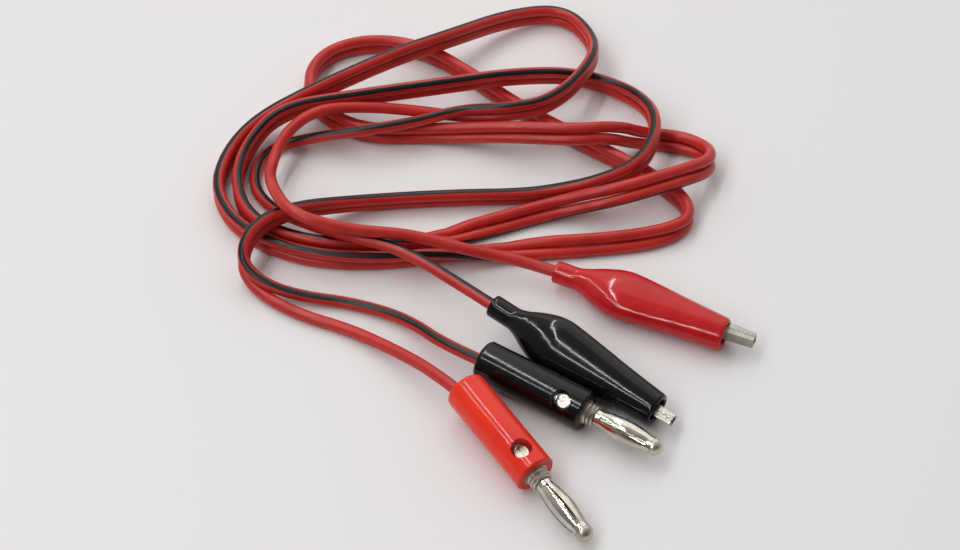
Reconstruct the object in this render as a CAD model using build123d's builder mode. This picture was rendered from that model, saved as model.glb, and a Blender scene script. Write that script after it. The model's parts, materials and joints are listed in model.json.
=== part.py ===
"""Pair of test leads: two 4 mm banana plugs joined by a two-core cord to two booted crocodile clips.

Millimetres, +Z up. The leads lie on the surface z = 0, and the origin is on that surface, under the
middle of the plugs and clips. Each plug and clip is built in its own frame: x runs along its axis
towards the tip, and z is its side hole's direction on a plug and its rivet's direction on a clip.
"""
import os
from math import cos, radians, sin, tan

from build123d import *

os.makedirs("parts", exist_ok=True)

# Cord: two insulated conductors, joined side by side along the twin stretch
CORD_D = 2.8
COPPER_D = 1.1
COPPER_BORE_D = 1.2
BEND_SHARE = 0.45          # share of the shorter run that a corner's arc takes
COPPER_KINK_R = 1.5        # bend of the bare copper where it leaves the insulation

# Banana plug, from the rear of the barrel
BARREL_D = 9.4
BARREL_LENGTH = 27.0
BARREL_REAR_EDGE = 1.0
BARREL_FRONT_EDGE = 0.3
REAR_BORE_D = 6.2
REAR_BORE_DEPTH = 8.0
CORE_D = 5.8
SIDE_HOLE_D = 4.7
SIDE_HOLE_X = 22.0
COLLAR_D = 5.2
COLLAR_LENGTH = 2.7
COLLAR_RINGS = 3
COLLAR_RING_DEPTH = 0.25
WIRE_BORE_D = 1.8
WIRE_BORE_END = 24.0
SCREW_D = 3.0
SCREW_TOP = 2.3            # height of the screw's end over the plug's axis
SCREW_SLOT = 0.4
PIN_LENGTH = 16.5          # from the collar to the end of the nose
ROD_D = 2.2
NOSE_D = 4.0
NOSE_LENGTH = 2.2

# Leaf sleeve: four sprung leaves between two cuffs that turn on the rod
CUFF_D = 3.9
CUFF_LENGTH = 1.1
CUFF_BORE_D = 2.3
BELLY_D = 5.3
BELLY_BAND = 1.5           # the widest stretch is a short cylinder
LEAF_THICKNESS = 0.35
LEAF_GAP = 0.12            # end play of the sleeve on the rod
SLOT_WIDTH = 0.5

# Crocodile clip, from the neck of its boot
CLIP_LENGTH = 49.0
BOOT_WALL = 0.8
NECK_BORE_D = 2.8
# x, half size across the jaws' opening, half size along the rivet, corner radius
BOOT_SECTIONS = [
    (0.0, 2.65, 2.65, 2.6),
    (5.0, 2.65, 2.65, 2.6),
    (8.8, 4.2, 3.3, 2.9),
    (12.0, 5.5, 3.8, 3.1),
    (16.0, 6.5, 4.1, 3.2),
    (20.0, 6.35, 4.15, 3.2),
    (24.0, 5.9, 4.15, 3.2),
    (33.0, 4.8, 4.05, 3.5),
    (42.5, 3.9, 3.9, 3.8),
]
NECK_SECTIONS = 2          # the first sections, where the boot grips the cord
PIVOT_X = 24.5
STEEL = 0.5
# Outer line of one jaw's back, from its rear end to its tip: x, distance from the closing line
JAW_BACK = [(14.0, 4.9), (17.0, 5.3), (25.0, 4.3), (33.0, 2.9), (42.5, 1.5), (CLIP_LENGTH, 1.2)]
JAW_FLANGE = [(14.0, 3.7), (17.0, 4.0), (21.5, 2.5)]
EAR_REACH = 1.4            # how far a jaw's ears cross the closing line at the pivot
EAR_FRONT_X = 26.5
TEETH_START = 31.0
TOOTH_PITCH = 1.2
TOOTH_HEIGHT = 0.5
TOOTH_GAP = 0.12
# Half widths of the jaws along the rivet
WIRE_JAW_PLAN = [(14.0, 1.9), (17.0, 2.3), (21.0, 2.6), (28.0, 2.6), (33.0, 2.1), (42.5, 1.45), (CLIP_LENGTH, 1.3)]
SPRING_JAW_PLAN = [(14.0, 1.9), (33.0, 1.9), (42.5, 1.45), (CLIP_LENGTH, 1.3)]
RIVET_D = 1.6
RIVET_CLEARANCE = 0.05
RIVET_HEAD_D = 3.0
RIVET_HEAD = 0.4
SPRING_WIRE_D = 0.55
SPRING_LEG_D = 0.5
SPRING_COIL_R = 1.35
SPRING_TURNS = 3
INSULATION_END_X = 7.5     # where the insulation stops inside the boot
COPPER_BEND_X = 8.7
COPPER_END = (15.0, -3.9)  # x and opening coordinate of the copper's end on the jaw's tail

# Where the pieces lie: rear and tip of each plug, neck and tip of each clip, and the lean of
# their frames' z from upright, in degrees, towards -Y
PLUGS = {
    "red": ((-31.0, -0.5, 6.8), (-4.3, -38.7, 3.2), 7.0),
    "black": ((-26.8, 9.5, 4.7), (11.6, -16, 4.7), 39.0),
}
CLIPS = {
    "red": ((-10.0, 36.3, 4.2), (34.9, 15, 4.2), 0.0),
    "black": ((-24.0, 22.8, 7.2), (14.3, -6.8, 3.7), 33.0),
}
CORD_IN_PLUG = 7.0         # how far the insulation reaches into a barrel
COPPER_IN_PLUG = 22.0

# Route of the cord. The twin stretch gives the middle of the pair, which stands on edge with the
# plain conductor below the striped one; the four single ends give their own centres.
PLAIN_PLUG_END = [(-36.5, 3.8, 6.0), (-45.5, 12.7, 3.2), (-57, 21, 1.4), (-69, 25.5, 1.4), (-78.5, 32, 1.4)]
STRIPED_PLUG_END = [(-34.5, 13, 4.5), (-44, 23.5, 2.2), (-56.5, 29, 1.4), (-68.5, 30.5, 2), (-77.5, 33, 3.6)]
TWIN = [
    (-83, 38, 4.6), (-81, 44, 9), (-73.5, 51, 9), (-57.5, 59.7, 2.8), (-35.5, 61.5, 2.8), (-13.5, 62, 2.8),
    (3.5, 61.5, 8), (12.5, 68, 9.1), (16, 81, 9.6), (11, 97, 3), (-2.5, 104.4, 2.8), (-19.5, 97.4, 9),
    (-36.5, 93.9, 9), (-59.5, 89.3, 9), (-76.5, 85, 9), (-84.5, 77, 4), (-86.5, 66, 2.8), (-82.5, 54, 2.8),
    (-71.5, 47, 2.8), (-56.5, 44.8, 2.8), (-41.5, 47.5, 2.8), (-25.5, 52.4, 2.8), (-9.5, 58.5, 2.8),
    (5.5, 56.5, 9), (20.5, 62.5, 9.2), (28, 68.5, 6.5), (28.3, 76, 3.4), (21.5, 81, 2.8), (11.5, 81.7, 3),
    (4, 77.2, 9.4), (-4.5, 76.2, 9.4), (-19.5, 79.6, 7), (-37.5, 83.5, 2.8), (-55.5, 83, 2.8), (-66.5, 90, 2.8),
    (-71.5, 101, 2.8), (-67.5, 112, 2.8), (-55.5, 117, 2.8), (-41.5, 114, 2.8), (-29.5, 103.8, 2.8),
    (-15.5, 90, 2.8), (2.5, 77, 2.8), (15.5, 67, 2.8), (22.3, 59, 2.8), (21.5, 52, 2.8), (13, 48.2, 2.8),
    (-3.5, 46, 2.8), (-25.5, 44.8, 2.8), (-47.5, 40.8, 2.8), (-67.5, 41.5, 2.8), (-83.5, 49.5, 2.8),
    (-91, 62, 2.8), (-89.5, 75, 2.8), (-82.5, 85.3, 4.7), (-67.5, 91.7, 9.4), (-49.5, 103.8, 9.3),
    (-35.5, 111.2, 9), (-19.5, 125.2, 3.8), (-5.5, 128, 2.8), (1.5, 116, 4), (0.6, 100, 10.4),
    (-9.5, 87, 9.2), (-22, 84.2, 9), (-31.5, 86.7, 6.5),
]
PLAIN_CLIP_END = [
    (-43, 87.6, 6.5), (-56, 87, 8.5), (-67.5, 83.3, 11), (-75, 78, 8.2), (-78.3, 68, 5.5), (-76, 54.5, 12.8),
    (-71, 45, 14.3), (-57.5, 42.6, 11.4), (-44, 43, 9.8), (-30.5, 40.3, 7.3), (-15.6, 38.95, 4.3),
]
STRIPED_CLIP_END = [
    (-43, 82.7, 7.4), (-54.5, 79.7, 7.6), (-67.5, 80.4, 4.5), (-77.5, 80.5, 1.4), (-82, 74.5, 1.4),
    (-82, 65.5, 1.4), (-77, 58.5, 1.6), (-68.5, 51.5, 4.2), (-59, 43.8, 8.4), (-46, 40.3, 7.9), (-31.1, 28.3, 7.8),
]


def frame_along(start, end, lean):
    """Plane at start whose x points to end and whose z leans from upright, towards -y."""
    axis = (Vector(end) - Vector(start)).normalized()
    upright = (Vector(0, 0, 1) - axis * axis.Z).normalized()
    aside = upright.cross(axis)
    return Plane(origin=start, x_dir=axis, z_dir=upright * cos(radians(lean)) - aside * sin(radians(lean)))


def lifted(frame, x, z=0.0):
    """The frame moved along its own x and z."""
    return Plane(origin=frame.from_local_coords((x, 0, z)), x_dir=frame.x_dir, z_dir=frame.z_dir)


def section(frame, x):
    """Plane across the frame's x axis: its x is the frame's y, and its y is the frame's z."""
    return Plane(origin=frame.from_local_coords((x, 0, 0)), x_dir=frame.y_dir, z_dir=frame.x_dir)


def plan(frame):
    """Plane that holds the frame's x axis and the direction of its z."""
    return Plane(origin=frame.origin, x_dir=frame.x_dir, z_dir=-frame.y_dir)


def local_point(frame, x, y=0.0, z=0.0):
    """A point of the frame as a tuple in the model's own coordinates."""
    return tuple(frame.from_local_coords((x, y, z)))


# ---------------------------------------------------------------- plugs

def make_barrel(colour, frame):
    with BuildPart() as barrel:
        with BuildSketch(frame):
            with BuildLine():
                Polyline(
                    (0, REAR_BORE_D / 2), (0, BARREL_D / 2), (BARREL_LENGTH, BARREL_D / 2),
                    (BARREL_LENGTH, CORE_D / 2), (REAR_BORE_DEPTH, CORE_D / 2),
                    (REAR_BORE_DEPTH, REAR_BORE_D / 2), close=True,
                )
            profile = make_face()
            fillet(profile.vertices().sort_by_distance((0, BARREL_D / 2))[0], BARREL_REAR_EDGE)
            chamfer(vertices().sort_by_distance((BARREL_LENGTH, BARREL_D / 2))[0], BARREL_FRONT_EDGE)
        revolve(axis=Axis(frame.origin, frame.x_dir))
        with BuildSketch(lifted(frame, SIDE_HOLE_X)):
            Circle(SIDE_HOLE_D / 2)
        extrude(amount=BARREL_D, mode=Mode.SUBTRACT)
    barrel.part.label = f"{colour}_plug_barrel"
    export_step(barrel.part, f"parts/{colour}_plug_barrel.step")


def make_core(colour, frame):
    pitch = COLLAR_LENGTH / COLLAR_RINGS
    rings = []
    for ring in range(COLLAR_RINGS):
        start = BARREL_LENGTH + ring * pitch
        rings.append((start, COLLAR_D / 2 - COLLAR_RING_DEPTH))
        rings.append((start + pitch / 2, COLLAR_D / 2))
    collar_end = BARREL_LENGTH + COLLAR_LENGTH
    nose_end = collar_end + PIN_LENGTH
    nose_start = nose_end - NOSE_LENGTH
    with BuildPart() as core:
        with BuildSketch(frame):
            with BuildLine():
                Polyline(
                    (nose_end, 0), (WIRE_BORE_END, 0), (WIRE_BORE_END, WIRE_BORE_D / 2),
                    (REAR_BORE_DEPTH, WIRE_BORE_D / 2), (REAR_BORE_DEPTH, CORE_D / 2),
                    (BARREL_LENGTH, CORE_D / 2), *rings, (collar_end, COLLAR_D / 2 - COLLAR_RING_DEPTH),
                    (collar_end, ROD_D / 2), (nose_start, ROD_D / 2), (nose_start, NOSE_D / 2),
                    (nose_end - NOSE_D / 2, NOSE_D / 2),
                )
                CenterArc((nose_end - NOSE_D / 2, 0), NOSE_D / 2, 90, -90)
            make_face()
        revolve(axis=Axis(frame.origin, frame.x_dir))
        with BuildSketch(lifted(frame, SIDE_HOLE_X, COPPER_D / 2)):
            Circle(SCREW_D / 2)
        extrude(amount=CORE_D, mode=Mode.SUBTRACT)
    core.part.label = f"{colour}_plug_core"
    export_step(core.part, f"parts/{colour}_plug_core.step")


def make_screw(colour, frame):
    """Grub screw that clamps the bare copper in the core; its slotted end shows in the side hole."""
    with BuildPart() as screw:
        with BuildSketch(lifted(frame, SIDE_HOLE_X, COPPER_D / 2)):
            Circle(SCREW_D / 2)
        extrude(amount=SCREW_TOP - COPPER_D / 2)
        with BuildSketch(lifted(frame, SIDE_HOLE_X, SCREW_TOP)):
            Rectangle(2 * SCREW_D, SCREW_SLOT)
        extrude(amount=-SCREW_SLOT, mode=Mode.SUBTRACT)
    screw.part.label = f"{colour}_plug_screw"
    export_step(screw.part, f"parts/{colour}_plug_screw.step")


def make_leaves(colour, frame):
    start = BARREL_LENGTH + COLLAR_LENGTH + LEAF_GAP
    end = BARREL_LENGTH + COLLAR_LENGTH + PIN_LENGTH - NOSE_LENGTH - LEAF_GAP
    middle = (start + end) / 2
    leaf_start = start + CUFF_LENGTH
    leaf_end = end - CUFF_LENGTH
    band_start = middle - BELLY_BAND / 2
    band_end = middle + BELLY_BAND / 2
    rise = (BELLY_D - CUFF_D) / 2
    inner_cuff = CUFF_BORE_D / 2
    inner_belly = BELLY_D / 2 - LEAF_THICKNESS
    with BuildPart() as leaves:
        with BuildSketch(frame):
            with BuildLine():
                Polyline((leaf_start, inner_cuff), (start, inner_cuff), (start, CUFF_D / 2),
                         (leaf_start, CUFF_D / 2))
                ThreePointArc(
                    (leaf_start, CUFF_D / 2),
                    ((leaf_start + band_start) / 2, CUFF_D / 2 + rise * 0.65),
                    (band_start, BELLY_D / 2),
                )
                Line((band_start, BELLY_D / 2), (band_end, BELLY_D / 2))
                ThreePointArc(
                    (band_end, BELLY_D / 2),
                    ((leaf_end + band_end) / 2, CUFF_D / 2 + rise * 0.65),
                    (leaf_end, CUFF_D / 2),
                )
                Polyline((leaf_end, CUFF_D / 2), (end, CUFF_D / 2), (end, inner_cuff), (leaf_end, inner_cuff))
                Polyline((leaf_end, inner_cuff), (band_end, inner_belly), (band_start, inner_belly),
                         (leaf_start, inner_cuff))
            make_face()
        revolve(axis=Axis(frame.origin, frame.x_dir))
        for side in (frame, plan(frame)):
            slot_middle = Plane(origin=frame.from_local_coords((middle, 0, 0)), x_dir=side.x_dir, z_dir=side.z_dir)
            with BuildSketch(slot_middle):
                Rectangle(leaf_end - leaf_start, SLOT_WIDTH)
            extrude(amount=BELLY_D, both=True, mode=Mode.SUBTRACT)
    leaves.part.label = f"{colour}_plug_leaves"
    export_step(leaves.part, f"parts/{colour}_plug_leaves.step")


# ---------------------------------------------------------------- clips

def make_boot(colour, frame):
    with BuildPart() as boot:
        for x, across, along, corner in BOOT_SECTIONS:
            with BuildSketch(section(frame, x)):
                RectangleRounded(2 * across, 2 * along, corner)
        loft(ruled=True)
        for index, (x, across, along, corner) in enumerate(BOOT_SECTIONS):
            in_neck = index < NECK_SECTIONS
            wall = across - NECK_BORE_D / 2 if in_neck else BOOT_WALL
            with BuildSketch(section(frame, x)):
                RectangleRounded(2 * (across - wall), 2 * (along - wall), corner - wall)
        loft(ruled=True, mode=Mode.SUBTRACT)
    boot.part.label = f"{colour}_clip_boot"
    export_step(boot.part, f"parts/{colour}_clip_boot.step")


def tooth_line(gap):
    """Zigzag of the closing line from the first tooth to the tip, moved back from it by half the gap."""
    points = []
    count = int((CLIP_LENGTH - TEETH_START) / TOOTH_PITCH)
    for step in range(2 * count + 1):
        height = TOOTH_HEIGHT / 2 if step % 2 else -TOOTH_HEIGHT / 2
        points.append((TEETH_START + step * TOOTH_PITCH / 2, height + gap / 2))
    points.append((CLIP_LENGTH, gap / 2))
    return points


def jaw_channel(frame, side, half_widths):
    """A stamped channel: its back on the given side of the closing line, its flanges towards it."""
    back = [(x, side * y) for x, y in JAW_BACK]
    flange = [(x, side * y) for x, y in JAW_FLANGE]
    ear = [
        (PIVOT_X - 2, -side * EAR_REACH), (EAR_FRONT_X, -side * EAR_REACH),
        (EAR_FRONT_X + 2.5, side * TOOTH_HEIGHT),
    ]
    edge = flange + ear + tooth_line(side * TOOTH_GAP)
    with BuildPart() as hollow:
        with BuildSketch(frame):
            with BuildLine():
                Polyline(*[(x, side * (abs(y) - STEEL)) for x, y in back], (CLIP_LENGTH, -side * 2 * EAR_REACH),
                         (JAW_BACK[0][0], -side * 2 * EAR_REACH), close=True)
            make_face()
        extrude(amount=BARREL_D, both=True)
        with BuildSketch(plan(frame)):
            with BuildLine():
                Polyline(*[(x, w - STEEL) for x, w in half_widths],
                         *[(x, STEEL - w) for x, w in reversed(half_widths)], close=True)
            make_face()
        extrude(amount=BARREL_D, both=True, mode=Mode.INTERSECT)
    with BuildPart() as channel:
        with BuildSketch(frame):
            with BuildLine():
                Polyline(*back, *reversed(edge), close=True)
            make_face()
        extrude(amount=BARREL_D, both=True)
        with BuildSketch(plan(frame)):
            with BuildLine():
                Polyline(*half_widths, *[(x, -w) for x, w in reversed(half_widths)], close=True)
            make_face()
        extrude(amount=BARREL_D, both=True, mode=Mode.INTERSECT)
        add(hollow.part, mode=Mode.SUBTRACT)
    return channel.part


def make_jaw(colour, frame, name, side, half_widths, rivet_gap):
    channel = jaw_channel(frame, side, half_widths)
    with BuildPart() as jaw:
        add(channel)
        with BuildSketch(lifted(frame, PIVOT_X)):
            Circle(RIVET_D / 2 + rivet_gap)
        extrude(amount=BARREL_D, both=True, mode=Mode.SUBTRACT)
    jaw.part.label = f"{colour}_clip_{name}"
    export_step(jaw.part, f"parts/{colour}_clip_{name}.step")


def make_rivet(colour, frame):
    pivot = lifted(frame, PIVOT_X)
    ear = max(width for _, width in WIRE_JAW_PLAN)
    with BuildPart() as rivet:
        with BuildSketch(Plane(origin=pivot.origin, x_dir=pivot.z_dir, z_dir=pivot.x_dir)):
            with BuildLine():
                Polyline(
                    (-ear - RIVET_HEAD, 0), (-ear - RIVET_HEAD, RIVET_HEAD_D / 3), (-ear, RIVET_HEAD_D / 2),
                    (-ear, RIVET_D / 2), (ear, RIVET_D / 2), (ear, RIVET_HEAD_D / 2),
                    (ear + RIVET_HEAD, RIVET_HEAD_D / 3), (ear + RIVET_HEAD, 0), close=True,
                )
            make_face()
        revolve(axis=Axis(pivot.origin, pivot.z_dir))
    rivet.part.label = f"{colour}_clip_rivet"
    export_step(rivet.part, f"parts/{colour}_clip_rivet.step")


def make_spring(colour, frame):
    """Torsion spring round the rivet, its two legs pressing the jaws' tails apart."""
    pivot = lifted(frame, PIVOT_X)
    pitch = 0.85 * SPRING_WIRE_D
    with BuildPart() as spring:
        with BuildSketch(Plane(origin=pivot.origin, x_dir=pivot.z_dir, z_dir=pivot.x_dir)):
            for turn in range(SPRING_TURNS):
                with Locations(((turn - (SPRING_TURNS - 1) / 2) * pitch, SPRING_COIL_R)):
                    Circle(SPRING_WIRE_D / 2)
        revolve(axis=Axis(pivot.origin, pivot.z_dir))
        for side in (-1, 1):
            foot = pivot.from_local_coords((0, side * SPRING_COIL_R, side * pitch))
            toe = pivot.from_local_coords((-8.0, side * 4.2, side * pitch))
            with BuildLine() as leg:
                Line(foot, toe)
            with BuildSketch(Plane(origin=foot, z_dir=toe - foot)):
                Circle(SPRING_LEG_D / 2)
            sweep(path=leg.line)
    spring.part.label = f"{colour}_clip_spring"
    export_step(spring.part, f"parts/{colour}_clip_spring.step")


# ---------------------------------------------------------------- cord

def bend_radii(points):
    """One radius per corner: the largest that the two runs beside it leave room for."""
    radii = []
    for before, corner, after in zip(points, points[1:], points[2:]):
        run_in = Vector(corner) - Vector(before)
        run_out = Vector(after) - Vector(corner)
        shorter = min(run_in.length, run_out.length)
        radii.append(BEND_SHARE * shorter / tan(radians(run_in.get_angle(run_out)) / 2))
    return radii


def make_insulation(name, points, radii):
    with BuildPart() as cord:
        with BuildLine() as route:
            FilletPolyline(*points, radius=radii)
        path = route.wire()
        with BuildSketch(Plane(origin=path @ 0, z_dir=path % 0)):
            Circle(CORD_D / 2)
        sweep(path=path)
        with BuildSketch(Plane(origin=path @ 0, z_dir=path % 0)):
            Circle(COPPER_BORE_D / 2)
        sweep(path=path, mode=Mode.SUBTRACT)
    cord.part.label = name
    export_step(cord.part, f"parts/{name}.step")
    print(name, "length", round(path.length, 1), "radii", [round(radius, 1) for radius in radii])


def make_copper(name, points, radii):
    with BuildPart() as copper:
        with BuildLine() as route:
            FilletPolyline(*points, radius=radii)
        path = route.wire()
        with BuildSketch(Plane(origin=path @ 0, z_dir=path % 0)):
            Circle(COPPER_D / 2)
        sweep(path=path)
    copper.part.label = name
    export_step(copper.part, f"parts/{name}.step")


def make_conductor(name, plug, clip, plug_end, clip_end, height):
    """One insulated conductor from a plug to a clip; height is its place over the pair's middle."""
    twin = [(x, y, z + height) for x, y, z in TWIN]
    start = local_point(plug, CORD_IN_PLUG)
    end = local_point(clip, INSULATION_END_X)
    points = [start, *plug_end, *twin, *clip_end, end]
    radii = bend_radii(points)
    make_insulation(f"{name}_cord", points, radii)
    kink = Vector(start) + (Vector(start) - Vector(plug_end[0])).normalized()
    copper_points = [
        local_point(plug, COPPER_IN_PLUG), tuple(kink), *points[1:-1],
        local_point(clip, COPPER_BEND_X), local_point(clip, *COPPER_END),
    ]
    make_copper(f"{name}_copper", copper_points, [COPPER_KINK_R, *radii, COPPER_KINK_R])


plug_frames = {colour: frame_along(*place) for colour, place in PLUGS.items()}
clip_frames = {colour: frame_along(*place) for colour, place in CLIPS.items()}

for colour, frame in plug_frames.items():
    make_barrel(colour, frame)
    make_core(colour, frame)
    make_screw(colour, frame)
    make_leaves(colour, frame)

for colour, frame in clip_frames.items():
    make_boot(colour, frame)
    make_jaw(colour, frame, "wire_jaw", -1, WIRE_JAW_PLAN, 0.0)
    make_jaw(colour, frame, "spring_jaw", 1, SPRING_JAW_PLAN, RIVET_CLEARANCE)
    make_rivet(colour, frame)
    make_spring(colour, frame)

make_conductor("plain", plug_frames["red"], clip_frames["red"], PLAIN_PLUG_END, PLAIN_CLIP_END, -CORD_D / 2)
make_conductor("striped", plug_frames["black"], clip_frames["black"], STRIPED_PLUG_END, STRIPED_CLIP_END, CORD_D / 2)
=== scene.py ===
"""Looks of the test lead set: camera, cord, boots, materials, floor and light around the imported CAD."""
import json
import math

import bpy
import numpy as np
from mathutils import Matrix, Vector


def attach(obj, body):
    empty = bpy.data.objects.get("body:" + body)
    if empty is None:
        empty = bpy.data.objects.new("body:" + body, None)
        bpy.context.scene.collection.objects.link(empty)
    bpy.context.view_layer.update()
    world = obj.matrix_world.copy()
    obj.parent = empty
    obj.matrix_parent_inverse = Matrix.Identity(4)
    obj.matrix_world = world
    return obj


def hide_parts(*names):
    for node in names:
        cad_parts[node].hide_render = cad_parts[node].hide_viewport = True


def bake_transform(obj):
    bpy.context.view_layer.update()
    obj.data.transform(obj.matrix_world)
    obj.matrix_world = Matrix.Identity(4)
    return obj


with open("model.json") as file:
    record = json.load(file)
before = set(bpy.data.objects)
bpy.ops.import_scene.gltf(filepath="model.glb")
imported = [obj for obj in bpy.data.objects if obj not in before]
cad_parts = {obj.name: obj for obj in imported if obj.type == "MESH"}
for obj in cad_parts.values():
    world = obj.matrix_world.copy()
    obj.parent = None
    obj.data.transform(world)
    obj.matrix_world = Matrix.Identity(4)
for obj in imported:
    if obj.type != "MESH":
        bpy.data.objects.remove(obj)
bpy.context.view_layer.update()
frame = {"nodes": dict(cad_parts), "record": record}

MM = 0.001
scene = bpy.context.scene

# ---------------------------------------------------------------- places, as in part.py, in millimetres

PLUGS = {
    "red": ((-31.0, -0.5, 6.8), (-4.3, -38.7, 3.2), 7.0),
    "black": ((-26.8, 9.5, 4.7), (11.6, -16, 4.7), 39.0),
}
CLIPS = {
    "red": ((-10.0, 36.3, 4.2), (34.9, 15, 4.2), 0.0),
    "black": ((-24.0, 22.8, 7.2), (14.3, -6.8, 3.7), 33.0),
}
PLAIN_PLUG_END = [(-36.5, 3.8, 6.0), (-45.5, 12.7, 3.2), (-57, 21, 1.4), (-69, 25.5, 1.4), (-78.5, 32, 1.4)]
STRIPED_PLUG_END = [(-34.5, 13, 4.5), (-44, 23.5, 2.2), (-56.5, 29, 1.4), (-68.5, 30.5, 2), (-77.5, 33, 3.6)]
TWIN = [
    (-83, 38, 4.6), (-81, 44, 9), (-73.5, 51, 9), (-57.5, 59.7, 2.8), (-35.5, 61.5, 2.8), (-13.5, 62, 2.8),
    (3.5, 61.5, 8), (12.5, 68, 9.1), (16, 81, 9.6), (11, 97, 3), (-2.5, 104.4, 2.8), (-19.5, 97.4, 9),
    (-36.5, 93.9, 9), (-59.5, 89.3, 9), (-76.5, 85, 9), (-84.5, 77, 4), (-86.5, 66, 2.8), (-82.5, 54, 2.8),
    (-71.5, 47, 2.8), (-56.5, 44.8, 2.8), (-41.5, 47.5, 2.8), (-25.5, 52.4, 2.8), (-9.5, 58.5, 2.8),
    (5.5, 56.5, 9), (20.5, 62.5, 9.2), (28, 68.5, 6.5), (28.3, 76, 3.4), (21.5, 81, 2.8), (11.5, 81.7, 3),
    (4, 77.2, 9.4), (-4.5, 76.2, 9.4), (-19.5, 79.6, 7), (-37.5, 83.5, 2.8), (-55.5, 83, 2.8),
    (-66.5, 90, 2.8), (-71.5, 101, 2.8), (-67.5, 112, 2.8), (-55.5, 117, 2.8), (-41.5, 114, 2.8),
    (-29.5, 103.8, 2.8), (-15.5, 90, 2.8), (2.5, 77, 2.8), (15.5, 67, 2.8), (22.3, 59, 2.8),
    (21.5, 52, 2.8), (13, 48.2, 2.8), (-3.5, 46, 2.8), (-25.5, 44.8, 2.8), (-47.5, 40.8, 2.8),
    (-67.5, 41.5, 2.8), (-83.5, 49.5, 2.8), (-91, 62, 2.8), (-89.5, 75, 2.8), (-82.5, 85.3, 4.7),
    (-67.5, 91.7, 9.4), (-49.5, 103.8, 9.3), (-35.5, 111.2, 9), (-19.5, 125.2, 3.8), (-5.5, 128, 2.8),
    (1.5, 116, 4), (0.6, 100, 10.4), (-9.5, 87, 9.2), (-22, 84.2, 9), (-31.5, 86.7, 6.5),
]
PLAIN_CLIP_END = [
    (-43, 87.6, 6.5), (-56, 87, 8.5), (-67.5, 83.3, 11), (-75, 78, 8.2), (-78.3, 68, 5.5),
    (-76, 54.5, 12.8), (-71, 45, 14.3), (-57.5, 42.6, 11.4), (-44, 43, 9.8), (-30.5, 40.3, 7.3),
    (-15.6, 38.95, 4.3),
]
STRIPED_CLIP_END = [
    (-43, 82.7, 7.4), (-54.5, 79.7, 7.6), (-67.5, 80.4, 4.5), (-77.5, 80.5, 1.4), (-82, 74.5, 1.4),
    (-82, 65.5, 1.4), (-77, 58.5, 1.6), (-68.5, 51.5, 4.2), (-59, 43.8, 8.4), (-46, 40.3, 7.9),
    (-31.1, 28.3, 7.8),
]
# How the pair rolls along the twin stretch: point of TWIN, angle in degrees of the striped
# conductor from straight above the plain one, towards the left of the way the route runs
ROLL = [
    (-9, 0), (1, 0), (2, -12), (3, -18), (5, -18), (6, 0), (9, 0), (10, 15), (13, 15), (15, 0),
    (18, 0), (19.2, -10), (20, -50), (20.8, -125), (21.5, -138), (24, -138), (25.5, -180), (27, -216),
    (30, -216), (32, -190), (44, -180), (45, -216), (46.3, -225), (47, -290), (47.7, -345),
    (49, -360), (90, -360),
]
STRIPE_TURN = 20           # the stripe's place on its conductor, on from the pair's own roll
TURNED_FREE_ABOVE = 6.0    # a pair whose middle is this high or higher rolls about its middle
TURNED_FREE_OVER = 3.0     # and one that is lower by this much stays on the floor as it rolls
CORD_D = 2.8
COPPER_D = 1.1
CORD_IN_PLUG = 7.0
COPPER_IN_PLUG = 22.0
INSULATION_END_X = 7.5
COPPER_END = [(8.7, 0.0), (15.0, -3.9)]    # x and y in the clip: middle and end of the bend
ROUTE_STEPS = 14           # points along each piece of a route's spline
CORD_SIDES = 20
COPPER_SIDES = 12
ROUND_END = 0.25           # rounded edge of a tube's end, in its radius

# ---------------------------------------------------------------- camera, from in front and above

TARGET = Vector((-27.5, 39, 0)) * MM
EYE = Vector((-27.5, -304.9, 382.0)) * MM
camera = bpy.data.objects.new("camera", bpy.data.cameras.new("camera"))
camera.data.lens = 82.5
camera.data.sensor_width = 36
camera.data.clip_start = 0.01
camera.location = EYE
camera.rotation_euler = (TARGET - EYE).to_track_quat("-Z", "Y").to_euler()
scene.collection.objects.link(camera)
scene.camera = camera


# ---------------------------------------------------------------- frames of plugs and clips

class Place:
    """A plug's or clip's own frame: x along its axis, z as in part.py."""

    def __init__(self, start, end, lean):
        self.origin = np.array(start, float)
        self.x = np.array(end, float) - self.origin
        self.x /= np.linalg.norm(self.x)
        upright = np.array([0, 0, 1.0]) - self.x * self.x[2]
        upright /= np.linalg.norm(upright)
        aside = np.cross(upright, self.x)
        turn = math.radians(lean)
        self.z = upright * math.cos(turn) - aside * math.sin(turn)
        self.y = np.cross(self.z, self.x)

    def at(self, x, y=0.0, z=0.0):
        """A point of the frame, in metres."""
        return (self.origin + self.x * x + self.y * y + self.z * z) * MM


plugs = {colour: Place(*where) for colour, where in PLUGS.items()}
clips = {colour: Place(*where) for colour, where in CLIPS.items()}


# ---------------------------------------------------------------- meshes

def new_mesh(name, verts, faces):
    """Smooth-shaded object."""
    mesh = bpy.data.meshes.new(name)
    mesh.from_pydata([tuple(v) for v in verts], [], faces)
    mesh.update()
    mesh.polygons.foreach_set("use_smooth", [True] * len(mesh.polygons))
    obj = bpy.data.objects.new(name, mesh)
    scene.collection.objects.link(obj)
    return obj


def ring_faces(rings, sides):
    """Quads between rings of the same number of sides, one after another."""
    faces = []
    for r in range(rings - 1):
        for s in range(sides):
            a = r * sides + s
            b = r * sides + (s + 1) % sides
            faces.append((a, b, b + sides, a + sides))
    return faces


def unit_rows(rows):
    """Rows of a table of vectors, each made one long."""
    return rows / np.linalg.norm(rows, axis=1)[:, None]


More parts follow.
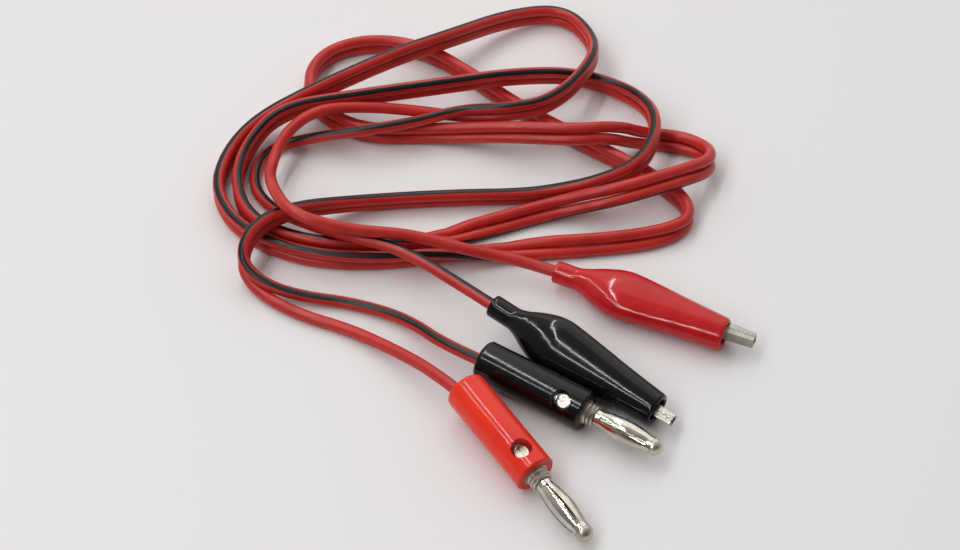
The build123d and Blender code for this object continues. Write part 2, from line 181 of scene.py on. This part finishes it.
def tube(name, line, radius, out, sides):
    """Round tube along line. out is a direction across it at each point, where its ring starts.
    Both ends are closed with a small rounded edge."""
    tangent = unit_rows(np.gradient(line, axis=0))
    first = out - tangent * (out * tangent).sum(1)[:, None]
    first = unit_rows(first)
    second = np.cross(tangent, first)
    turns = np.linspace(0, 2 * math.pi, sides, endpoint=False)
    verts, around = [], []
    edge = ROUND_END * radius
    stations = [(0, -edge, radius - edge)] + [(i, 0, radius) for i in range(len(line))]
    stations.append((len(line) - 1, edge, radius - edge))
    for i, along, r in stations:
        middle = line[i] + tangent[i] * along
        for turn in turns:
            verts.append(middle + r * (math.cos(turn) * first[i] + math.sin(turn) * second[i]))
            around.append(math.cos(turn))
    faces = ring_faces(len(stations), sides)
    last = (len(stations) - 1) * sides
    faces.append(tuple(reversed(range(sides))))
    faces.append(tuple(range(last, last + sides)))
    obj = new_mesh(name, verts, faces)
    layer = obj.data.attributes.new("around", "FLOAT", "POINT")
    layer.data.foreach_set("value", around)
    return obj


# ---------------------------------------------------------------- cord

def route_samples(points):
    """Points along the smooth line of the route, in metres, and each one's place among the points."""
    curve = bpy.data.curves.new("route", "CURVE")
    curve.dimensions = "3D"
    curve.resolution_u = ROUTE_STEPS
    spline = curve.splines.new("NURBS")
    spline.points.add(len(points) - 1)
    for control, point in zip(spline.points, points):
        control.co = (*(np.array(point) * MM), 1.0)
    spline.order_u = 3
    spline.use_endpoint_u = True
    carrier = bpy.data.objects.new("route", curve)
    scene.collection.objects.link(carrier)
    mesh = bpy.data.meshes.new_from_object(carrier)
    line = np.array([v.co for v in mesh.vertices], float)
    bpy.data.objects.remove(carrier)
    bpy.data.meshes.remove(mesh)
    # the spline's pieces join halfway between the route's points
    place = np.linspace(0, len(points) - 2, len(line)) + 0.5
    return line, place


def directions_across(line):
    """Directions across a line at each of its points: upwards, and to the left of the way it runs."""
    tangent = unit_rows(np.gradient(line, axis=0))
    up = unit_rows(np.array([0, 0, 1.0]) - tangent * tangent[:, 2:])
    return up, np.cross(up, tangent)


def rolled_shift(line, place, roll, height):
    """How far each point of a conductor moves as the pair rolls from standing on edge."""
    up, left = directions_across(line)
    on_twin = np.clip(np.minimum(place + 1.0, len(TWIN) - place), 0, 1)
    side = np.cos(roll)[:, None] * up + np.sin(roll)[:, None] * left
    shift = (side - up) * (height * MM * on_twin)[:, None]
    middle = line[:, 2] / MM - height * on_twin
    low = np.clip((TURNED_FREE_ABOVE - middle) / TURNED_FREE_OVER, 0, 1)
    shift[:, 2] -= (1 - np.abs(np.cos(roll))) * abs(height) * MM * on_twin * low
    return shift


def copper_line(plug, clip, line):
    """The copper's line: bare in the plug, through the insulation, and bent to the jaw's tail."""
    in_plug = [plug.at(x) for x in np.linspace(COPPER_IN_PLUG, CORD_IN_PLUG + 1, 12)]
    middle, end = (clip.at(x, y) for x, y in COPPER_END)
    in_clip = [(1 - t) ** 2 * line[-1] + 2 * t * (1 - t) * middle + t * t * end
               for t in np.linspace(0.1, 1, 10)]
    return np.vstack([in_plug, line, in_clip])


def conductor(name, insulation_slot, colour, plug_end, clip_end, height):
    """One insulated conductor and its copper. height is its place over the pair's middle."""
    plug, clip = plugs[colour], clips[colour]
    twin = [(x, y, z + height) for x, y, z in TWIN]
    start = plug.at(CORD_IN_PLUG) / MM
    end = clip.at(INSULATION_END_X) / MM
    line, place = route_samples([start, *plug_end, *twin, *clip_end, end])
    place = place - 1 - len(plug_end)
    roll = np.radians(np.interp(place, *zip(*ROLL)))
    up, left = directions_across(line)
    line = line + rolled_shift(line, place, roll, height)
    turn = roll + math.radians(STRIPE_TURN)
    out = np.cos(turn)[:, None] * up + np.sin(turn)[:, None] * left
    cord = tube(f"{name}_cord_cover", line, CORD_D / 2 * MM, out, CORD_SIDES)
    core = copper_line(plug, clip, line)
    core_out = np.cross(np.gradient(core, axis=0), (0.3, 0.2, 1))
    copper = tube(f"{name}_copper_core", core, COPPER_D / 2 * MM, core_out, COPPER_SIDES)
    for piece, node, slot in ((cord, f"{name}_cord", insulation_slot), (copper, f"{name}_copper", "copper")):
        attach(piece, "root")
        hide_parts(node)
    tuple(plug.at(0))
    return cord, copper


plain_cord, plain_copper = conductor(
    "plain", "red_insulation", "red", PLAIN_PLUG_END, PLAIN_CLIP_END, -CORD_D / 2)
striped_cord, striped_copper = conductor(
    "striped", "striped_insulation", "black", STRIPED_PLUG_END, STRIPED_CLIP_END, CORD_D / 2)

# ---------------------------------------------------------------- boots

# x, half size across the jaws' opening, half size along the rivet, squareness of the section
BOOT = [
    (0.0, 2.65, 2.65, 2.0), (5.0, 2.65, 2.65, 2.0), (7.2, 3.2, 2.95, 2.04), (9.6, 4.35, 3.35, 2.08),
    (12.4, 5.5, 3.72, 2.12), (15.0, 6.25, 3.94, 2.16), (17.4, 6.5, 4.02, 2.18),
    (20.2, 6.3, 4.0, 2.18), (24.0, 5.88, 3.97, 2.16),
    (28.0, 5.4, 3.95, 2.13), (33.0, 4.8, 3.93, 2.1), (38.0, 4.3, 3.9, 2.05), (42.5, 3.9, 3.88, 2.0),
]
# How far each boot's neck and mouth reach past those rows, and how far its mouth sags aside
NECK_REACH = {"red": 0.0, "black": 0.7}
MOUTH_REACH = {"red": 0.0, "black": 2.4}
MOUTH_SAG = {"red": -1.3, "black": 0.0}
LEVER_X = 17.6             # the hump over the jaws' tails
BOOT_WALL = 0.8
MOUTH_LIP = 1.25           # thickness of the rounded lip at the mouth
SAG_POWER = 1.3            # how late along the boot the sag sets in
SKIN_START_X = 0.4         # the outside's rows are used from here on, past the neck's rounded edge
NECK_EDGE = ((0.0, 0.3), (0.09, 0.09), (0.3, 0.0))    # x on from the neck's end, inset of that edge
CAVITY_START_X = 6.2       # the cavity round the jaws runs from here to the mouth
BORE_INSET = 1.25          # the neck's wall round the cord
BORE_RINGS_X = (5.4, 2.0)  # rings along that bore, from the cavity back to the neck's end
# x and y in the clip of the two ends of a blend from the fixed jaw to the moving jaw; the boot's
# skin is one rigid piece that follows neither jaw
BLEND_START = (9.0, 4.2)
BLEND_END = (12.01, 13.63)
BOOT_SIDES = 56
BOOT_STEPS = 110


def smooth_rows(rows, steps):
    """Rows of numbers taken at even steps of the first, along a smooth curve that doesn't overshoot."""
    table = np.array(rows, float)
    x = table[:, 0]
    slopes = np.diff(table, axis=0) / np.diff(x)[:, None]
    tangents = np.zeros_like(table)
    for i in range(1, len(x) - 1):
        a, b = slopes[i - 1], slopes[i]
        same = a * b > 0
        tangents[i] = np.where(same, 2 * a * b / np.where(same, a + b, 1), 0)
    tangents[0], tangents[-1] = slopes[0], slopes[-1]
    out = []
    for value in np.linspace(x[0], x[-1], steps):
        i = min(np.searchsorted(x, value, side="right") - 1, len(x) - 2)
        h = x[i + 1] - x[i]
        t = (value - x[i]) / h
        out.append((2 * t**3 - 3 * t**2 + 1) * table[i] + (t**3 - 2 * t**2 + t) * h * tangents[i]
                   + (3 * t**2 - 2 * t**3) * table[i + 1] + (t**3 - t**2) * h * tangents[i + 1])
    return np.array(out)


def boot_ring(place, x, row, inset, sag):
    """One ring of the boot's skin at x, that far inside its outer line."""
    across, along, power = row
    ring = []
    for k in range(BOOT_SIDES):
        turn = 2 * math.pi * k / BOOT_SIDES
        c, s = math.cos(turn), math.sin(turn)
        y = math.copysign(abs(c) ** (2 / power), c) * (across - inset)
        z = math.copysign(abs(s) ** (2 / power), s) * (along - inset)
        ring.append(place.at(x, y + sag, z))
    return ring


def boot_rings(colour):
    """Rings of a boot's skin, from the neck over the outside, round the lip and back inside: x, row,
    inset and sag of each."""
    rows = smooth_rows(BOOT, BOOT_STEPS)
    past_lever = np.clip((rows[:, 0] - LEVER_X) / (rows[-1][0] - LEVER_X), 0, 1)
    sags = past_lever ** SAG_POWER * MOUTH_SAG[colour]
    rows[:, 0] += past_lever * MOUTH_REACH[colour]
    start, end = -NECK_REACH[colour], rows[-1][0]
    neck, mouth = rows[0][1:], rows[-1][1:]
    lip = MOUTH_LIP / 2
    skin = list(zip(rows[:, 0], rows[:, 1:], sags))
    rings = [(start, neck, BORE_INSET, 0)]
    rings += [(start + x, neck, inset, 0) for x, inset in NECK_EDGE]
    rings += [(x, row, 0, sag) for x, row, sag in skin if SKIN_START_X < x < end - lip]
    for turn in np.linspace(0, math.pi, 9):
        rings.append((end - lip + lip * math.sin(turn), mouth, lip - lip * math.cos(turn), sags[-1]))
    rings.append((end - 2.5 * lip, mouth, BOOT_WALL, sags[-1]))
    rings += [(x, row, BOOT_WALL, sag) for x, row, sag in skin[::-1] if CAVITY_START_X < x < end - 3 * lip]
    rings += [(x, neck, BORE_INSET, 0) for x in BORE_RINGS_X]
    return rings


def boot(colour):
    place = clips[colour]
    rings = boot_rings(colour)
    verts = []
    for ring in rings:
        verts += boot_ring(place, *ring)
    faces = ring_faces(len(rings), BOOT_SIDES)
    last = (len(rings) - 1) * BOOT_SIDES
    for s in range(BOOT_SIDES):
        beside = (s + 1) % BOOT_SIDES
        faces.append((last + s, last + beside, beside, s))
    obj = new_mesh(f"{colour}_boot_skin", verts, faces)
    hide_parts(f"{colour}_clip_boot")
    tuple(place.at(*BLEND_START))
    tuple(place.at(*BLEND_END))
    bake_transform(obj)
    return obj


red_boot = boot("red")
black_boot = boot("black")

# ---------------------------------------------------------------- materials

# Places of the colour sockets on a Mix node, whose names repeat for each kind of data
MIX_A, MIX_B, MIX_RESULT = 6, 7, 2


class Look:
    """A principled material that is built up node by node."""

    def __init__(self, name, colour, roughness, metallic=0.0):
        self.material = bpy.data.materials.new(name)
        self.material.use_nodes = True
        self.nodes = self.material.node_tree.nodes
        self.links = self.material.node_tree.links
        self.shader = self.nodes["Principled BSDF"]
        self.shader.inputs["Base Color"].default_value = (*colour, 1.0)
        self.shader.inputs["Roughness"].default_value = roughness
        self.shader.inputs["Metallic"].default_value = metallic
        self.place = self.nodes.new("ShaderNodeTexCoord").outputs["Object"]
        self.bumps = []

    def set(self, **values):
        for name, value in values.items():
            self.shader.inputs[name.replace("_", " ")].default_value = value
        return self

    def noise(self, size_mm, detail, distortion=0.0):
        """Fac output of a noise whose grain is about size_mm."""
        noise = self.nodes.new("ShaderNodeTexNoise")
        noise.inputs["Scale"].default_value = 1000.0 / size_mm
        noise.inputs["Detail"].default_value = detail
        noise.inputs["Distortion"].default_value = distortion
        self.links.new(self.place, noise.inputs["Vector"])
        return noise.outputs["Fac"]

    def ramp(self, source, stops):
        """Colour ramp over source; stops are (place, grey or colour)."""
        ramp = self.nodes.new("ShaderNodeValToRGB")
        elements = ramp.color_ramp.elements
        while len(elements) < len(stops):
            elements.new(0.5)
        for element, (where, value) in zip(elements, stops):
            element.position = where
            element.color = (*value, 1.0) if isinstance(value, tuple) else (value, value, value, 1.0)
        self.links.new(source, ramp.inputs["Fac"])
        return ramp.outputs["Color"]

    def mix(self, factor, first, second):
        """Mix of two colours, each a colour or a socket."""
        mix = self.nodes.new("ShaderNodeMix")
        mix.data_type = "RGBA"
        self.links.new(factor, mix.inputs["Factor"])
        for socket, value in ((mix.inputs[MIX_A], first), (mix.inputs[MIX_B], second)):
            if isinstance(value, tuple):
                socket.default_value = (*value[:3], 1.0)
            else:
                self.links.new(value, socket)
        return mix.outputs[MIX_RESULT]

    def paint(self, socket):
        self.links.new(socket, self.shader.inputs["Base Color"])
        return self

    def rough(self, source, low, high):
        """Roughness that wanders between low and high with source."""
        spread = self.nodes.new("ShaderNodeMapRange")
        spread.inputs["From Min"].default_value = 0.3
        spread.inputs["From Max"].default_value = 0.7
        spread.inputs["To Min"].default_value = low
        spread.inputs["To Max"].default_value = high
        self.links.new(source, spread.inputs["Value"])
        self.links.new(spread.outputs["Result"], self.shader.inputs["Roughness"])
        return self

    def bump(self, source, height_mm):
        """Adds a bump over those already there."""
        bump = self.nodes.new("ShaderNodeBump")
        bump.inputs["Strength"].default_value = 1.0
        bump.inputs["Distance"].default_value = height_mm * MM
        self.links.new(source, bump.inputs["Height"])
        if self.bumps:
            self.links.new(self.bumps[-1].outputs["Normal"], bump.inputs["Normal"])
        self.bumps.append(bump)
        self.links.new(bump.outputs["Normal"], self.shader.inputs["Normal"])
        return self


def plastic(name, colour, dark, roughness, specular, wave_mm, subsurface=0.0):
    """Moulded plastic: faint clouding, fine orange peel, worn patches in the gloss."""
    look = Look(name, colour, roughness)
    look.set(Specular_IOR_Level=specular)
    if subsurface:
        look.set(Subsurface_Weight=subsurface, Subsurface_Radius=(1.0, 0.25, 0.12), Subsurface_Scale=0.0012)
    cloud = look.ramp(look.noise(7.0, 2.0), [(0.3, 0.0), (0.7, 1.0)])
    look.paint(look.mix(cloud, colour, dark))
    look.rough(look.noise(2.2, 4.0), roughness * 0.8, roughness * 1.35)
    look.bump(look.noise(wave_mm, 1.0), 0.003)
    look.bump(look.noise(0.35, 3.0), 0.0008)
    return look.material


def metal(name, colour, dark, roughness, grain_mm):
    """Plated metal: slight staining, fine grain, uneven gloss."""
    look = Look(name, colour, roughness, 1.0)
    stain = look.ramp(look.noise(3.0, 4.0, distortion=0.6), [(0.35, 0.0), (0.75, 1.0)])
    look.paint(look.mix(stain, colour, dark))
    look.rough(look.noise(grain_mm, 3.0), roughness * 0.7, roughness * 1.5)
    look.bump(look.noise(grain_mm * 0.6, 2.0), 0.0006)
    look.bump(look.noise(2.5, 1.0), 0.006)
    return look.material


def insulation(name, striped):
    red, shade = (0.56, 0.028, 0.020), (0.44, 0.018, 0.014)
    look = Look(name, red, 0.33)
    look.set(Specular_IOR_Level=0.4, Subsurface_Weight=0.08, Subsurface_Radius=(1.0, 0.2, 0.1),
             Subsurface_Scale=0.0008)
    cloud = look.ramp(look.noise(9.0, 3.0), [(0.3, 0.0), (0.7, 1.0)])
    skin = look.mix(cloud, red, shade)
    if striped:
        around = look.nodes.new("ShaderNodeAttribute")
        around.attribute_name = "around"
        wander = look.nodes.new("ShaderNodeMath")
        wander.operation = "MULTIPLY_ADD"
        look.links.new(look.noise(4.0, 2.0), wander.inputs[0])
        wander.inputs[1].default_value = 0.05
        look.links.new(around.outputs["Fac"], wander.inputs[2])
        stripe = look.ramp(wander.outputs["Value"], [(0.875, 0.0), (0.905, 1.0)])
        skin = look.mix(stripe, skin, (0.004, 0.0035, 0.004))
    look.paint(skin)
    look.rough(look.noise(3.0, 4.0), 0.3, 0.42)
    look.bump(look.noise(6.0, 1.0), 0.008)
    look.bump(look.noise(0.4, 3.0), 0.002)
    return look.material


def copper_look():
    look = Look("copper_strands", (0.80, 0.36, 0.20), 0.28, 1.0)
    tarnish = look.ramp(look.noise(1.2, 4.0), [(0.4, 0.0), (0.8, 1.0)])
    look.paint(look.mix(tarnish, (0.80, 0.36, 0.20), (0.45, 0.17, 0.09)))
    look.bump(look.noise(0.22, 2.0), 0.05)
    return look.material


NICKEL, NICKEL_STAIN = (0.62, 0.58, 0.50), (0.46, 0.42, 0.35)
looks = {
    "red_plastic": plastic(
        "red_moulded_plastic", (0.83, 0.035, 0.012), (0.75, 0.026, 0.010), 0.1, 0.36, 4.0, 0.15),
    "black_plastic": plastic(
        "black_moulded_plastic", (0.004, 0.004, 0.0045), (0.003, 0.003, 0.0033), 0.1, 0.3, 4.0),
    "red_vinyl": plastic(
        "red_soft_vinyl", (0.60, 0.016, 0.018), (0.50, 0.010, 0.012), 0.09, 0.34, 5.0, 0.25),
    "black_vinyl": plastic(
        "black_soft_vinyl", (0.004, 0.0045, 0.0045), (0.003, 0.003, 0.003), 0.09, 0.3, 5.0),
    "nickel": metal("turned_nickel_plate", NICKEL, NICKEL_STAIN, 0.32, 0.5),
    "spring_nickel": metal("rolled_nickel_plate", (0.70, 0.66, 0.57), NICKEL_STAIN, 0.10, 0.9),
    "plated_steel": metal("stamped_plated_steel", (0.42, 0.40, 0.35), (0.30, 0.28, 0.24), 0.36, 0.6),
    "spring_steel": metal("spring_wire_steel", (0.45, 0.45, 0.46), (0.30, 0.30, 0.31), 0.3, 0.4),
    "red_insulation": insulation("red_insulation", False),
    "striped_insulation": insulation("striped_insulation", True),
    "copper": copper_look(),
}

PIECE_SLOTS = (
    (plain_cord, "red_insulation"), (striped_cord, "striped_insulation"),
    (plain_copper, "copper"), (striped_copper, "copper"),
    (red_boot, "red_vinyl"), (black_boot, "black_vinyl"),
)
for piece, slot in PIECE_SLOTS:
    piece.data.materials.append(looks[slot])
node_slots = {part["node"]: part["material_slot"] for part in frame["record"]["subparts"]}
for node, obj in frame["nodes"].items():
    for material_slot in obj.material_slots:
        material_slot.link = "OBJECT"
        material_slot.material = looks[node_slots[node]]

# ---------------------------------------------------------------- floor and light

floor_look = Look("pale_table", (0.80, 0.79, 0.79), 0.7)
floor_look.set(Specular_IOR_Level=0.2)
shade = floor_look.ramp(floor_look.noise(300.0, 2.0), [(0.2, 0.0), (0.8, 1.0)])
floor_look.paint(floor_look.mix(shade, (0.805, 0.795, 0.795), (0.785, 0.775, 0.775)))
FLOOR = 6.0                # half its side, in metres
corners = [(-FLOOR, -FLOOR, 0), (FLOOR, -FLOOR, 0), (FLOOR, FLOOR, 0), (-FLOOR, FLOOR, 0)]
floor = new_mesh("floor", corners, [(0, 1, 2, 3)])
floor.data.materials.append(floor_look.material)

scene.view_settings.view_transform = "Standard"


def area_light(name, where, along, width, length, power):
    """Rectangle light that shines at the origin, its long side along a direction."""
    lamp = bpy.data.lights.new(name, "AREA")
    lamp.shape = "RECTANGLE"
    lamp.size = length
    lamp.size_y = width
    lamp.energy = power
    back = Vector(where).normalized()
    short_side = back.cross(Vector(along)).normalized()
    obj = bpy.data.objects.new(name, lamp)
    obj.matrix_world = Matrix((short_side.cross(back), short_side, back)).transposed().to_4x4()
    obj.location = where
    scene.collection.objects.link(obj)


area_light("strip_far", (-0.31, 0.05, 0.8), (0.33, 0.94, 0), 0.009, 2.2, 4.0)
area_light("strip_near", (-0.575, -0.2, 0.8), (0.17, 0.985, 0), 0.009, 2.2, 4.0)
area_light("soft_back", (0.4, 1.2, 1.3), (1, 0, 0), 1.6, 1.6, 5.0)

world = bpy.data.worlds.new("studio")
world.use_nodes = True
scene.world = world
sky = world.node_tree
background = sky.nodes["Background"]
direction = sky.nodes.new("ShaderNodeTexCoord")
split = sky.nodes.new("ShaderNodeSeparateXYZ")
gradient = sky.nodes.new("ShaderNodeMapRange")
gradient.inputs["From Min"].default_value = -0.9
gradient.inputs["From Max"].default_value = 0.6
gradient.inputs["To Min"].default_value = 0.05
gradient.inputs["To Max"].default_value = 0.64
sky.links.new(direction.outputs["Generated"], split.inputs["Vector"])
sky.links.new(split.outputs["Y"], gradient.inputs["Value"])
sky.links.new(gradient.outputs["Result"], background.inputs["Strength"])
background.inputs["Color"].default_value = (1.0, 0.985, 0.98, 1.0)
